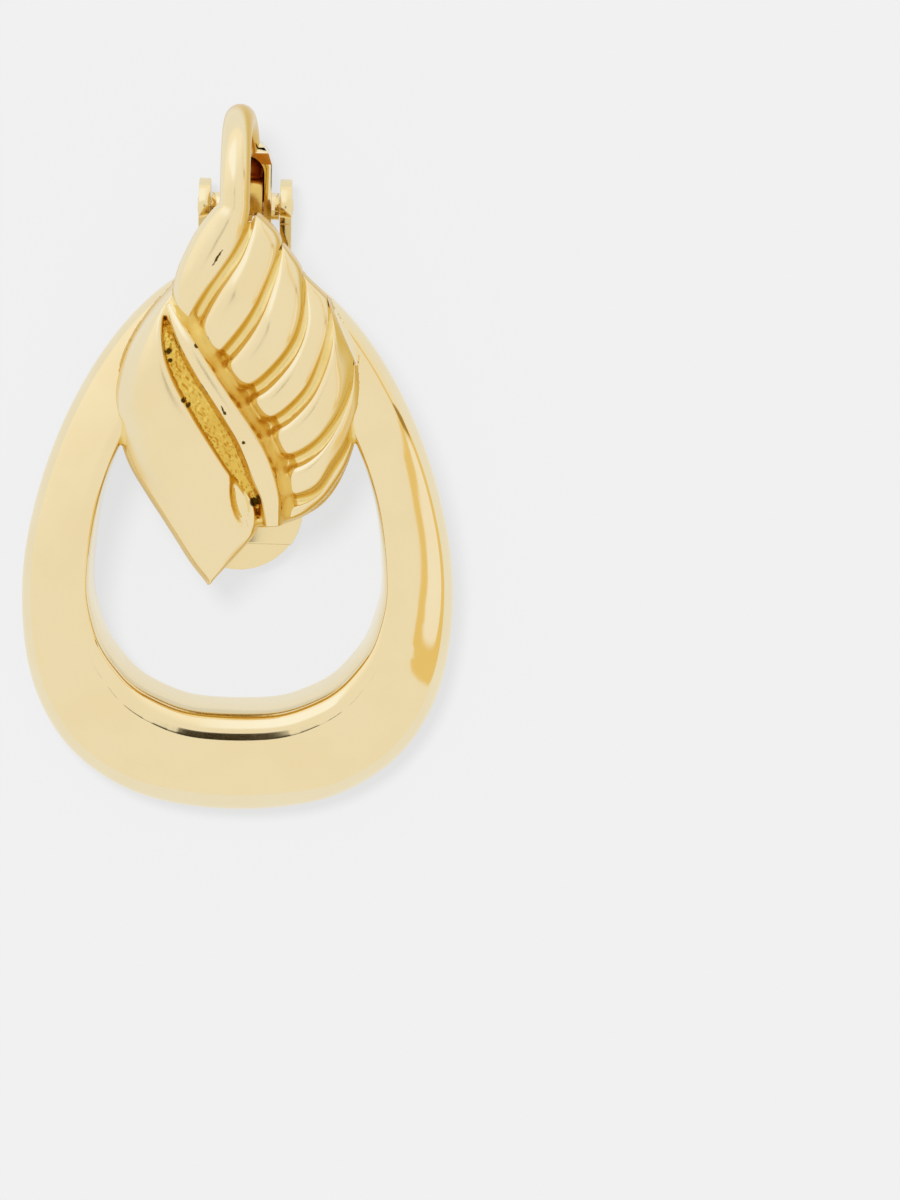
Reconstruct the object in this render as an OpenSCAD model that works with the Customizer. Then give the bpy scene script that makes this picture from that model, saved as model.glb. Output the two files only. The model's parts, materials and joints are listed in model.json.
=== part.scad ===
// Clip-on drop earring: one gold-plated casting of an egg-shaped hoop, a ribbed
// leaf and an ear bow, with a spring-loaded clip paddle hinged at the bow's end.
//
// Every piece is modelled flat, as the jeweller draws it: X to the right, Y up the
// earring towards the bow, Z out of its front. The hoop's widest line is Y = 0 and
// its flat back is Z = 0. lay() then rests the earring on its back, front side up.

/* [Hoop] */
// Width over the hoop
hoop_w = 29.7; // [28.5:0.1:31]
// Height of the hoop's outline above its widest line
hoop_rise = 23; // [22.5:0.1:24]
// Depth of the hoop's outline below its widest line
hoop_drop = 15.6; // [15:0.1:16.5]
// Width of the hoop's opening
eye_w = 19.7; // [19:0.1:20.2]
// Height of the opening above its own widest line
eye_rise = 16; // [15.5:0.1:16.5]
// Depth of the opening below its own widest line
eye_drop = 8.6; // [8.2:0.1:9]
// Thickness of the hoop, front to back, at its sides
hoop_t = 4.6; // [4.2:0.1:5]
// Extra thickness of the hoop at its bottom
hoop_swell = 1.2; // [0.6:0.1:1.6]

/* [Leaf] */
// Height of the leaf's flat back above the hoop's back
leaf_back = 1.6; // [1.4:0.1:1.8]
// Height of a rib's arch, as a part of its width
rib_round = 0.34; // [0.25:0.01:0.45]

/* [Ear bow] */
// Diameter of the round bow
wire_d = 2.05; // [1.8:0.05:2.4]
// Distance between the bow's front arm and rear arm, centre to centre
bow_depth = 10; // [9:0.1:11]
// Height of the bow's centre above the hoop's widest line
bow_y = 27.6; // [27:0.1:28.5]
// How far the rear arm stands to the right of the front arm
bow_shift = 0.5; // [0:0.1:0.6]

/* [Clip] */
// Width of the spring housing at the rear arm's end
housing_w = 3.6; // [3.4:0.1:3.8]
// Depth of the spring housing
housing_d = 3.2; // [3.1:0.05:3.3]
// Width over the paddle's two ears
ears_w = 6.4; // [6.2:0.1:6.8]
// Thickness of the paddle's sheet
sheet_t = 0.8; // [0.7:0.05:0.9]
// Diameter of the hinge pin
pin_d = 1.2; // [1:0.05:1.3]
// Distance from the hinge pin to the middle of the round pad
paddle_l = 20.8; // [20:0.1:21.5]
// Diameter of the round pad
pad_d = 8.8; // [8:0.1:9]
// Angle of the closed paddle to the hoop's back
paddle_slope = 13.5; // [12.5:0.5:15]

/* [Hidden] */
gold = [0.93, 0.84, 0.66];
steel_gold = [0.83, 0.66, 0.32];

// Hoop
eye_lift = 0.85;
outer_low = [2.55, 2.35];
outer_high = [1.64, 1.86];
eye_low = [1.93, 2.5];
eye_high = [2, 2];
hoop_steps = 80;
// Columns: part of the way from the inner to the outer edge, part of the thickness
hoop_section = [
    [0.14, 0.00],
    [0.03, 0.08],
    [0.00, 0.28],
    [0.06, 0.62],
    [0.13, 0.86],
    [0.21, 0.97],
    [0.36, 1.00],
    [0.55, 0.94],
    [0.74, 0.78],
    [0.90, 0.52],
    [0.99, 0.26],
    [0.97, 0.09],
    [0.86, 0.00],
];
BACK_RIM = 12;

// Leaf, plain half. Columns: left x, left y, right x, right y, left z, right z, bulge
leaf_rows = [
    [-4.4, 21.9, -4.6, 20.9, 4.7, 5.3, 0.2],
    [-6.2, 19.8, -5.2, 19.5, 4.5, 5.9, 0.4],
    [-7.6, 17.5, -5.0, 17.5, 4.4, 6.4, 0.7],
    [-8.4, 15.2, -4.3, 15.6, 4.3, 6.7, 0.9],
    [-8.65, 13.3, -3.1, 13.4, 4.2, 6.9, 1.0],
    [-8.35, 11.4, -2.0, 11.7, 4.1, 6.9, 1.0],
    [-7.7, 9.3, -1.15, 10.2, 4.0, 6.7, 1.0],
    [-6.3, 6.9, -0.6, 8.1, 4.1, 6.3, 0.9],
    [-4.7, 4.5, 0.1, 5.8, 4.2, 5.7, 0.8],
    [-3.25, 2.3, 0.9, 4.2, 4.1, 5.0, 0.6],
    [-2.1, 0.85, -1.7, 1.05, 3.9, 4.1, 0.1],
];
// Bed under the ribs. Columns: y, left x, right x, left z, right z
bed_rows = [
    [26.2, -1.6, 1.2, 4.6, 4.3],
    [25.6, -2.2, 2.0, 4.8, 4.3],
    [24.4, -3.0, 2.7, 5.0, 4.3],
    [23.5, -3.6, 3.65, 5.0, 4.3],
    [21.9, -4.2, 5.3, 5.0, 4.3],
    [19.6, -5.0, 6.9, 5.1, 4.3],
    [17.3, -5.2, 7.7, 5.3, 4.3],
    [15.1, -4.6, 8.15, 5.5, 4.2],
    [13.2, -3.4, 8.3, 5.6, 4.1],
    [11.4, -2.2, 8.0, 5.6, 4.0],
    [9.6, -1.0, 7.5, 5.5, 3.9],
    [7.9, -0.6, 6.75, 5.3, 3.8],
    [6.6, -0.2, 5.75, 5.1, 3.8],
    [5.7, 0.3, 4.4, 4.9, 3.8],
    [5.1, 0.9, 2.9, 4.8, 3.8],
];
bed_bulge = 0.5;
// Midrib. Columns: x, y, top z, width
midrib_rows = [
    [-4.95, 20.5, 5.6, 0.4],
    [-4.3, 19.2, 6.3, 0.7],
    [-3.5, 17.8, 6.8, 0.95],
    [-2.4, 16.0, 7.1, 1.05],
    [-1.3, 14.4, 7.25, 1.05],
    [-0.35, 13.0, 7.3, 1.1],
    [0.5, 11.7, 7.2, 1.2],
    [1.2, 10.3, 7.0, 1.35],
    [1.7, 9.0, 6.7, 1.4],
    [2.2, 7.5, 6.3, 1.2],
    [2.35, 6.2, 5.9, 1.0],
    [2.4, 5.3, 5.6, 0.9],
];
// Seams between the ribs, from the midrib outwards; the last one is the leaf's free edge.
// Columns: x, y, z
seams = [
    [[-3.1, 18.85, 5.6], [-2.55, 20.3, 5.7], [-1.85, 21.6, 5.8], [-1.05, 22.75, 5.8],
     [-0.25, 23.95, 5.6], [0.3, 25.35, 5.2], [0.6, 26.4, 4.7]],
    [[-1.5, 16.55, 5.7], [-0.6, 17.55, 5.8], [0.45, 18.95, 5.8], [1.25, 20.35, 5.8],
     [1.85, 21.8, 5.5], [2.35, 23.2, 5.1], [2.65, 24.45, 4.6]],
    [[0.25, 14.4, 5.7], [1.6, 15.2, 5.8], [3.0, 16.7, 5.7], [3.85, 18.1, 5.5],
     [4.25, 19.5, 5.2], [4.3, 20.85, 4.9], [4.15, 22.5, 4.5]],
    [[1.8, 12.2, 5.6], [3.25, 13.05, 5.7], [4.75, 14.65, 5.5], [5.65, 16.55, 5.1],
     [6.15, 18.4, 4.8], [6.15, 19.7, 4.6], [5.85, 20.9, 4.4]],
    [[3.05, 9.65, 5.3], [4.45, 10.2, 5.3], [5.6, 11.1, 5.2], [6.5, 12.3, 5.0],
     [7.15, 13.6, 4.8], [7.6, 15.1, 4.6], [7.75, 16.7, 4.4]],
    [[3.35, 6.95, 4.9], [4.5, 7.2, 4.9], [5.5, 7.75, 4.7], [6.3, 9.0, 4.6],
     [7.3, 10.6, 4.4], [8.0, 12.6, 4.3], [8.2, 14.3, 4.2]],
    [[3.0, 5.15, 4.2], [4.3, 5.6, 4.1], [5.5, 6.5, 4.0], [6.4, 7.6, 4.0],
     [7.35, 9.3, 4.0], [8.0, 11.4, 4.0], [8.3, 13.4, 4.0]],
];
seam_w = 0.42;
seam_narrowing = 0.6;
rib_flattening = 0.7;
midrib_spread = 0.25;
STRIP_STEPS = 8;
RIB_STEPS = 14;
RIB_END = 0.1;
RIB_TIP = 0.02;

// Bow: its front arm runs on into the first rib. Columns: x, y, middle z, width, thickness
bow_r = bow_depth / 2;
front_x = -0.55;
rear_x = front_x + bow_shift;
first_rib_rows = [
    [-0.75, 26.9, 5.0, 2.5, 2.3],
    [-1.3, 25.8, 5.0, 3.1, 2.6],
    [-2.0, 24.5, 5.0, 3.3, 2.9],
    [-2.7, 23.1, 5.0, 3.2, 3.0],
    [-3.4, 21.6, 4.95, 2.8, 3.0],
    [-3.75, 20.3, 4.8, 2.0, 2.7],
    [-3.75, 19.2, 4.6, 0.9, 2.1],
];
BOW_REAR_ANGLE = 150;
BOW_STEP = 15;
BOW_SIDES = 14;

// Clip
pin_y = 26;
pin_z = -bow_r;
pin_l = ears_w + 0.2;
running_gap = 0.04;
press_gap = 0.03;
pin_hole_r = pin_d / 2 + press_gap;
housing_top = 29.4;
housing_low = 24.6;
housing_wall = 0.5;
housing_square = 28.4;
housing_taper = 0.4;
boss_r = 0.95;
boss_gap = 0.08;
ear_r = 1.9;
ear_inner = ears_w / 2 - sheet_t;
spring_gap = 0.1;
spring_w = housing_w - 2 * housing_wall - 2 * spring_gap;
spring_t = 0.3;
spring_r = 1.05;
spring_fold_y = 27.05;
spring_low = 24.8;
plate_from = 2.4;
plate_to_pad = 2;
ear_slope_from = [2.6, 0.6];
ear_fold_end = 6.5;
neck_from = 9;
neck_w = 4.6;
pad_t = 0.9;
lip_from = 2.5;
lip_bend = 14;
lip_inset = 0.03;
lip_overlap = 0.1;

// The resting place: a hoop bottom and the paddle's round ears touch the table.
rim_at_rest = hoop_point(0, BACK_RIM);
reach = [pin_y - rim_at_rest[1], pin_z - rim_at_rest[2]];
rest_tilt = asin(ear_r / norm(reach)) - atan2(reach[1], reach[0]);
rest_z = -(rim_at_rest[1] * sin(rest_tilt) + rim_at_rest[2] * cos(rest_tilt));
far_end = bow_y * cos(rest_tilt) + bow_r + wire_d / 2;
near_end = min([for (j = [0:BACK_RIM])
    let (p = hoop_point(0, j)) p[1] * cos(rest_tilt) - p[2] * sin(rest_tilt)]);
rest_y = -(far_end + near_end) / 2;

// Curves
function signed_pow(x, power) = sign(x) * pow(abs(x), power);

// A point of an egg outline, turn = 0 at the bottom and 90 at the right
function egg(turn, half_w, rise, drop, low, high) =
    let (up = cos(turn) < 0, powers = up ? high : low)
    [half_w * signed_pow(sin(turn), 2 / powers[1]),
     -(up ? rise : drop) * signed_pow(cos(turn), 2 / powers[0])];

function hoop_outside(turn) = egg(turn, hoop_w / 2, hoop_rise, hoop_drop, outer_low, outer_high)
    + [0, eye_lift / 2];
function hoop_inside(turn) = egg(turn, eye_w / 2, eye_rise, eye_drop, eye_low, eye_high)
    + [0, eye_lift * 1.5];
function hoop_depth(turn) = hoop_t + hoop_swell * pow((1 + cos(turn)) / 2, 1.5);

// A point of the hoop's surface, at one turn and one row of the section
function hoop_point(turn, j) =
    let (inner = hoop_inside(turn), outer = hoop_outside(turn), s = hoop_section[j])
    let (plan = inner + (outer - inner) * s[0])
    [plan[0], plan[1], hoop_depth(turn) * s[1]];

// A smooth curve through the rows of a table, taken at place t
function spline_at(rows, t) =
    let (last = len(rows) - 1, i = min(floor(t), last - 1), f = t - i)
    let (a = rows[max(i - 1, 0)], b = rows[i], c = rows[i + 1], d = rows[min(i + 2, last)])
    (2 * b + (c - a) * f + (2 * a - 5 * b + 4 * c - d) * f * f
        + (3 * b - a - 3 * c + d) * f * f * f) / 2;
function spline(rows, steps) =
    [for (k = [0:steps]) spline_at(rows, k * (len(rows) - 1) / steps)];
function unit(v) = v / norm(v);

// A solid skin over rings of equal length, closed into a loop or capped at its ends
module skin(rings, loop = false) {
    n = len(rings);
    m = len(rings[0]);
    sides = [for (i = [0:n - (loop ? 1 : 2)], j = [0:m - 1])
        let (k = (i + 1) % n, l = (j + 1) % m)
        each [[i * m + j, i * m + l, k * m + l], [i * m + j, k * m + l, k * m + j]]];
    caps = loop ? [] : [[for (j = [m - 1:-1:0]) j], [for (j = [0:m - 1]) (n - 1) * m + j]];
    polyhedron([for (ring = rings) each ring], concat(sides, caps), convexity = 8);
}

module hoop() {
    skin([for (k = [0:hoop_steps - 1])
        [for (j = [BACK_RIM:-1:0]) hoop_point(360 * k / hoop_steps, j)]], loop = true);
}

// One cross-section of a domed strip between two edge points, down to the leaf's back
function strip_ring(left, right, left_z, right_z, bulge) =
    concat([[left[0], left[1], leaf_back]],
        [for (k = [0:STRIP_STEPS])
            let (s = k / STRIP_STEPS)
            [left[0] + (right[0] - left[0]) * s, left[1] + (right[1] - left[1]) * s,
             left_z + (right_z - left_z) * s + bulge * sin(180 * s)]],
        [[right[0], right[1], leaf_back]]);

module leaf_plain_half() {
    skin([for (r = spline(leaf_rows, 20))
        strip_ring([r[0], r[1]], [r[2], r[3]], r[4], r[5], r[6])]);
}

module rib_bed() {
    skin([for (r = bed_rows) strip_ring([r[1], r[0]], [r[2], r[0]], r[3], r[4], bed_bulge)]);
}

module midrib() {
    for (k = [0:len(midrib_rows) - 2])
        hull() {
            midrib_post(midrib_rows[k]);
            midrib_post(midrib_rows[k + 1]);
        }
}

module midrib_post(row) {
    translate([row[0], row[1], leaf_back])
        cylinder(h = row[2] - leaf_back, r1 = row[3] / 2 + midrib_spread, r2 = row[3] / 2, $fn = 14);
}

// One rounded rib between two seams, round at the midrib and flatter towards the edge
module rib(left_seam, right_seam) {
    last = len(left_seam) - 1;
    skin([for (k = [RIB_STEPS:-1:0])
        let (t = k / RIB_STEPS, a = spline_at(left_seam, t * last), b = spline_at(right_seam, t * last))
        let (mid = (a + b) / 2, gap = seam_w * (1 - seam_narrowing * t) / norm(b - a))
        let (open = sqrt(1 - pow(1 - min((t + RIB_TIP) / RIB_END, 1), 2)), keep = open * (1 - gap))
        let (l = mid + (a - mid) * keep, r = mid + (b - mid) * keep)
        strip_ring(l, r, l[2], r[2], rib_round * norm(r - l) * (1 - rib_flattening * t * t))]);
}

// Rows of the bow's wire over the arc, from the rear arm to the front arm
function bow_arc() = [for (a = [BOW_REAR_ANGLE:-BOW_STEP:0])
    [front_x + bow_shift * (1 - cos(a)) / 2, bow_y + bow_r * sin(a), bow_r * cos(a), wire_d, wire_d]];

module bow() {
    rows = concat(bow_arc(), first_rib_rows);
    last = len(rows) - 1;
    arc_rows = len(bow_arc());
    skin([for (k = [0:last])
        let (r = rows[k], a = k < arc_rows ? BOW_REAR_ANGLE - BOW_STEP * k : 0)
        let (next = rows[min(k + 1, last)], before = rows[max(k - 1, 0)])
        let (way = unit([for (i = [0:2]) next[i] - before[i]]))
        let (across = unit(cross([0, sin(a), cos(a)], way)), out = cross(way, across))
        [for (j = [0:BOW_SIDES - 1])
            let (b = 360 * j / BOW_SIDES)
            [r[0], r[1], r[2]] + across * r[3] / 2 * cos(b) - out * r[4] / 2 * sin(b)]]);
}

// The rear arm widens into a channel that is open at the front and below
module housing() {
    difference() {
        union() {
            hull() {
                translate([rear_x, bow_y + bow_r * sin(BOW_REAR_ANGLE), bow_r * cos(BOW_REAR_ANGLE)])
                    rotate([BOW_REAR_ANGLE - 180, 0, 0])
                        cylinder(h = housing_taper, d = wire_d, center = true, $fn = BOW_SIDES);
                housing_block(housing_square - housing_taper / 2, housing_taper / 2);
            }
            housing_block(housing_low, housing_square - housing_low);
            translate([rear_x, pin_y, pin_z])
                rotate([0, 90, 0])
                    cylinder(h = 2 * (ear_inner - boss_gap), r = boss_r, center = true, $fn = 24);
        }
        housing_channel();
        translate([rear_x, pin_y, pin_z])
            rotate([0, 90, 0])
                cylinder(h = ears_w, r = pin_hole_r, center = true, $fn = 32);
    }
}

module housing_block(low, height) {
    translate([rear_x - housing_w / 2, low, pin_z - housing_d / 2])
        cube([housing_w, height, housing_d]);
}

module housing_channel() {
    inner = housing_w - 2 * housing_wall;
    arch_y = housing_top - housing_wall - inner / 2;
    translate([rear_x, 0, pin_z - housing_d / 2 + housing_wall])
        linear_extrude(housing_d) {
            translate([-inner / 2, housing_low - 1])
                square([inner, arch_y - housing_low + 1]);
            translate([0, arch_y])
                circle(d = inner, $fn = 20);
        }
}

module earring_casting() {
    color(gold)
        union() {
            hoop();
            leaf_plain_half();
            rib_bed();
            midrib();
            for (k = [0:len(seams) - 2])
                rib(seams[k], seams[k + 1]);
            bow();
            housing();
        }
}

// A strip folded over the pin, one leg in front of it and one behind
module clip_spring() {
    color(steel_gold)
        translate([rear_x - spring_w / 2, 0, pin_z])
            rotate([90, 0, 90])
                linear_extrude(spring_w)
                    difference() {
                        spring_outline(spring_r, spring_low);
                        spring_outline(spring_r - spring_t, spring_low - 1);
                    }
}

module spring_outline(r, low) {
    translate([spring_fold_y, 0])
        circle(r = r, $fn = 32);
    translate([low, -r])
        square([spring_fold_y - low, 2 * r]);
}

module hinge_pin() {
    color(gold)
        translate([rear_x, pin_y, pin_z])
            rotate([0, 90, 0])
                cylinder(h = pin_l, d = pin_d, center = true, $fn = 32);
}

// Sheet paddle, drawn with the pin at the origin, X across, Y down the paddle
module clip_paddle() {
    color(gold)
        translate([rear_x, pin_y, pin_z])
            rotate([-paddle_slope, 0, 0])
                mirror([0, 1, 0]) {
                    folded_sheet();
                    round_pad();
                }
}

// A strip with both its ears folded up, cut out of its side view
module folded_sheet() {
    difference() {
        rotate([90, 0, 90])
            linear_extrude(ears_w, center = true)
                sheet_side();
        translate([-ear_inner, -2 * ear_r, -ear_r + sheet_t])
            cube([2 * ear_inner, 2 * paddle_l, 3 * ear_r]);
        translate([-ear_inner, -2 * ear_r, -2 * ear_r])
            cube([2 * ear_inner, 2 * ear_r + plate_from, 3 * ear_r]);
        for (side = [-1, 1])
            translate([0, 0, -2 * ear_r])
                linear_extrude(2 * ear_r)
                    polygon([[side * ears_w / 2, ear_fold_end], [side * ears_w, ear_fold_end],
                             [side * ears_w, 2 * paddle_l], [side * neck_w / 2, 2 * paddle_l],
                             [side * neck_w / 2, neck_from]]);
        rotate([0, 90, 0])
            cylinder(h = 2 * ears_w, r = pin_d / 2 + running_gap, center = true, $fn = 32);
    }
}

module sheet_side() {
    circle(r = ear_r, $fn = 48);
    polygon([[0, -ear_r], [0, ear_r], ear_slope_from, [ear_fold_end, -ear_r + sheet_t],
             [paddle_l - plate_to_pad, -ear_r + sheet_t], [paddle_l - plate_to_pad, -ear_r]]);
}

// A disc with its far edge bent back, away from the lobe
module round_pad() {
    hinge_z = pad_t - lip_inset;
    translate([0, paddle_l, -ear_r + (sheet_t - pad_t) / 2]) {
        pad_slice(-pad_d, lip_from, 0);
        translate([0, lip_from, hinge_z])
            rotate([-lip_bend, 0, 0])
                translate([0, -lip_from, -hinge_z])
                    pad_slice(lip_from - lip_overlap, pad_d, lip_inset);
    }
}

// The part of the disc between two lines across it, drawn in all round by an inset
module pad_slice(from_y, to_y, inset) {
    intersection() {
        translate([0, 0, inset])
            cylinder(h = pad_t - 2 * inset, d = pad_d - 4 * inset, $fn = 64);
        translate([-pad_d, from_y, -pad_t])
            cube([2 * pad_d, to_y - from_y, 3 * pad_t]);
    }
}

// From the drawing's flat frame to the table
module lay() {
    translate([0, rest_y, rest_z])
        rotate([rest_tilt, 0, 0])
            children();
}

lay() earring_casting();
lay() clip_spring();
lay() hinge_pin();
lay() clip_paddle();
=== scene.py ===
import json
import math

import bpy
import numpy as np
from mathutils import Matrix, Vector, noise
from mathutils.bvhtree import BVHTree


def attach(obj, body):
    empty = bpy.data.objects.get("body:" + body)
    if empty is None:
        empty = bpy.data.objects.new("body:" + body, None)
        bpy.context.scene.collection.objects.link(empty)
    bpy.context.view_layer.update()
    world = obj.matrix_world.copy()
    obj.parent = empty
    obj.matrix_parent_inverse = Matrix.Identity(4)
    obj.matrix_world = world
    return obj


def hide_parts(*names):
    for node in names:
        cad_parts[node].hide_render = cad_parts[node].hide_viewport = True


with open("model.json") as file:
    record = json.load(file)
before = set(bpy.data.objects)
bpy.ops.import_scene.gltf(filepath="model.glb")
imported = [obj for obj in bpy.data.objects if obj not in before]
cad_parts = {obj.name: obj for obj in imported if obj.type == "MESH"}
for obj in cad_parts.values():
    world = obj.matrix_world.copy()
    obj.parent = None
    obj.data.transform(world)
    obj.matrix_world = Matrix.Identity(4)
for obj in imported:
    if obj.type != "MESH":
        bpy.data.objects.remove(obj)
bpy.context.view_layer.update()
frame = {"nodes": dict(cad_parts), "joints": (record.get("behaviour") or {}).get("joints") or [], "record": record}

# The camera of the flat lay: it hangs straight above the sheet, far back on a long lens, and is
# turned a touch about its line of sight. The frame's 1200 pixel side is the sensor's long side.
MM = 0.001
camera_reach = 600 * MM
focus_height = 7 * MM
pixels_per_mm = 14.5982
frame_height = 1200 / pixels_per_mm * MM
camera_x = 14.63 * MM
camera_y = -9.50 * MM
camera_turn = 0.0207
bpy.ops.object.camera_add(
    location=(camera_x, camera_y, focus_height + camera_reach),
    rotation=(0, 0, camera_turn),
)
camera = bpy.context.active_object
camera.data.lens = camera.data.sensor_width * camera_reach / frame_height
camera.data.clip_start = 1 * MM
camera.data.clip_end = 3
bpy.context.scene.camera = camera

# The hoop: a thick egg-shaped ring of polished casting, flat at the back, with a tight ridge near
# its opening and a broad face that falls away from it. Like the whole front it is drawn flat, in
# millimetres, and laid on the sheet last.
hinge = frame["joints"][0]
mounts = {mount["name"]: mount for mount in frame["record"]["mounts"]}
up_way = Vector(mounts["ear_bow"]["axis"]).normalized()
out_way = Vector((1, 0, 0)).cross(up_way)
turned = Matrix(((1, up_way.x, out_way.x), (0, up_way.y, out_way.y), (0, up_way.z, out_way.z)))
pin_drawn = Vector((-0.05, 26, -5))
pin_laid = Vector(hinge["pos_m"])
lay_flat = Matrix.Translation(pin_laid - MM * (turned @ pin_drawn)) @ (MM * turned).to_4x4()

hoop_w = 29.7
hoop_rise = 23
hoop_drop = 15.45
eye_w = 19.7
eye_rise = 16
eye_drop = 8.6
eye_lift = 0.85
hoop_t = 4.6
hoop_swell = 1.2
ridge_top = -0.17
ridge_low = 0.05
hoop_turns = 288
hoop_sides = 96
# Columns: part of the way from the inner to the outer edge, part of the thickness
hoop_section = [
    (0.16, 0.00),
    (0.05, 0.05),
    (0.00, 0.24),
    (0.008, 0.46),
    (0.032, 0.68),
    (0.068, 0.84),
    (0.108, 0.925),
    (0.155, 0.97),
    (0.22, 0.992),
    (0.29, 1.00),
    (0.40, 0.972),
    (0.60, 0.87),
    (0.78, 0.745),
    (0.92, 0.61),
    (0.985, 0.46),
    (1.00, 0.28),
    (0.98, 0.09),
    (0.88, 0.00),
]


def lay(piece, smooth_angle=35):
    """Smooths a finished piece and lays it from the drawing on to the sheet."""
    bpy.ops.object.select_all(action="DESELECT")
    piece.select_set(True)
    bpy.context.view_layer.objects.active = piece
    bpy.ops.object.shade_smooth_by_angle(angle=math.radians(smooth_angle))
    piece.data.transform(lay_flat)


def spline(rows, place):
    """A smooth curve through the rows of a table; place 1.5 is halfway from row 1 to row 2."""
    last = len(rows) - 1
    i = min(int(place), last - 1)
    f = place - i
    a, b, c, d = (np.array(rows[max(0, min(k, last))], float) for k in range(i - 1, i + 3))
    return (2 * b + (c - a) * f + (2 * a - 5 * b + 4 * c - d) * f**2 + (3 * (b - c) + d - a) * f**3) / 2


def egg(turn, half_w, rise, drop, low, high):
    """A point of an egg outline, turn 0 at the bottom and a quarter turn at the right."""
    across, up = math.sin(turn), -math.cos(turn)
    powers = high if up > 0 else low
    return complex(
        half_w * math.copysign(abs(across) ** (2 / powers[1]), across),
        (rise if up > 0 else drop) * math.copysign(abs(up) ** (2 / powers[0]), up),
    )


def evened(outline, harmonics=14):
    """A closed outline rid of its small kinks: only its lowest harmonics are kept."""
    waves = np.fft.fft(outline)
    waves[harmonics + 1 : -harmonics] = 0
    return np.fft.ifft(waves)


def surface_of(piece):
    """The shape of a piece as it is drawn, to be met by rays."""
    return BVHTree.FromPolygons(
        [vertex.co.copy() for vertex in piece.data.vertices],
        [face.vertices[:] for face in piece.data.polygons],
    )


turns = [2 * math.pi * k / hoop_turns for k in range(hoop_turns)]
outer_line = evened([egg(t, hoop_w / 2, hoop_rise, hoop_drop, (2.55, 2.35), (1.64, 1.86)) for t in turns])
inner_line = evened([egg(t, eye_w / 2, eye_rise, eye_drop, (1.93, 2.5), (2, 2)) for t in turns])
outer_line += 0.5j * eye_lift
inner_line += 1.5j * eye_lift
ring = hoop_section[-1:] + hoop_section + hoop_section[:2]
section_line = evened(
    [complex(*spline(ring, 1 + len(hoop_section) * k / hoop_sides)) for k in range(hoop_sides)], 20
)

bpy.ops.object.select_all(action="DESELECT")
bpy.ops.mesh.primitive_torus_add(major_segments=hoop_turns, minor_segments=hoop_sides, major_radius=2, minor_radius=1)
hoop = bpy.context.active_object
hoop.name = "hoop"
for vertex in hoop.data.vertices:
    around = math.atan2(vertex.co.x, -vertex.co.y) % (2 * math.pi)
    radius = math.hypot(vertex.co.x, vertex.co.y) - 2
    side = math.atan2(vertex.co.z, -radius) / (2 * math.pi) + 0.25
    k = round(around / (2 * math.pi) * hoop_turns) % hoop_turns
    shape = section_line[round(side * hoop_sides) % hoop_sides]
    low = ((1 + math.cos(around)) / 2) ** 1.5
    part = shape.real + (ridge_top + (ridge_low - ridge_top) * low) * 4 * shape.real * (1 - shape.real)
    plan = inner_line[k] + (outer_line[k] - inner_line[k]) * part
    depth = hoop_t + hoop_swell * low
    vertex.co = (plan.real, plan.imag, depth * max(shape.imag, 0))
bpy.ops.object.mode_set(mode="EDIT")
bpy.ops.mesh.select_all(action="SELECT")
bpy.ops.mesh.normals_make_consistent(inside=False)
bpy.ops.object.mode_set(mode="OBJECT")
hoop_surface = surface_of(hoop)
lay(hoop)


class Socket:
    """A shader value that ordinary arithmetic works on; each sum adds its Math node."""

    def __init__(self, shader, link):
        self.shader = shader
        self.link = link

    def sum_with(self, operation, *values):
        return self.shader.node("ShaderNodeMath", {"operation": operation}, *values)

    def __add__(self, other):
        return self.sum_with("ADD", self, other)

    def __radd__(self, other):
        return self.sum_with("ADD", other, self)

    def __sub__(self, other):
        return self.sum_with("SUBTRACT", self, other)

    def __rsub__(self, other):
        return self.sum_with("SUBTRACT", other, self)

    def __mul__(self, other):
        return self.sum_with("MULTIPLY", self, other)

    def __rmul__(self, other):
        return self.sum_with("MULTIPLY", other, self)

    def __truediv__(self, other):
        return self.sum_with("DIVIDE", self, other)

    def __abs__(self):
        return self.sum_with("ABSOLUTE", self)

    def step(self, start, end):
        """0 before start and 1 past end, with a soft change between them."""
        settings = {"interpolation_type": "SMOOTHSTEP"}
        if start < end:
            return self.shader.node("ShaderNodeMapRange", settings, self, start, end, 0.0, 1.0)
        return self.shader.node("ShaderNodeMapRange", settings, self, end, start, 1.0, 0.0)


class Shader:
    """The nodes of one material or of the world."""

    def __init__(self, owner):
        owner.use_nodes = True
        self.tree = owner.node_tree

    def node(self, kind, settings, *values, output=0, **named):
        made = self.tree.nodes.new(kind)
        for key, value in settings.items():
            if key == "stops":
                for k, (position, colour) in enumerate(value):
                    stop = made.color_ramp.elements[k] if k < 2 else made.color_ramp.elements.new(position)
                    stop.position = position
                    stop.color = colour
            else:
                setattr(made, key, value)
        for key, value in [*enumerate(values), *named.items()]:
            self.feed(made.inputs[key], value)
        return Socket(self, made.outputs[output])

    def mix(self, share, first, second):
        made = self.tree.nodes.new("ShaderNodeMix")
        made.data_type = "RGBA"
        for key, value in ((0, share), (6, first), (7, second)):
            self.feed(made.inputs[key], value)
        return Socket(self, made.outputs[2])

    def feed(self, entry, value):
        if isinstance(value, Socket):
            self.tree.links.new(value.link, entry)
        else:
            entry.default_value = value

    def set(self, name, **values):
        for key, value in values.items():
            self.feed(self.tree.nodes[name].inputs[key.replace("_", " ")], value)


def linear(red, green, blue):
    """A colour as seen on a screen, 0 to 255, as the shader's linear value."""
    shares = [c / 255 for c in (red, green, blue)]
    return (*[s / 12.92 if s <= 0.04045 else ((s + 0.055) / 1.055) ** 2.4 for s in shares], 1)


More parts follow.
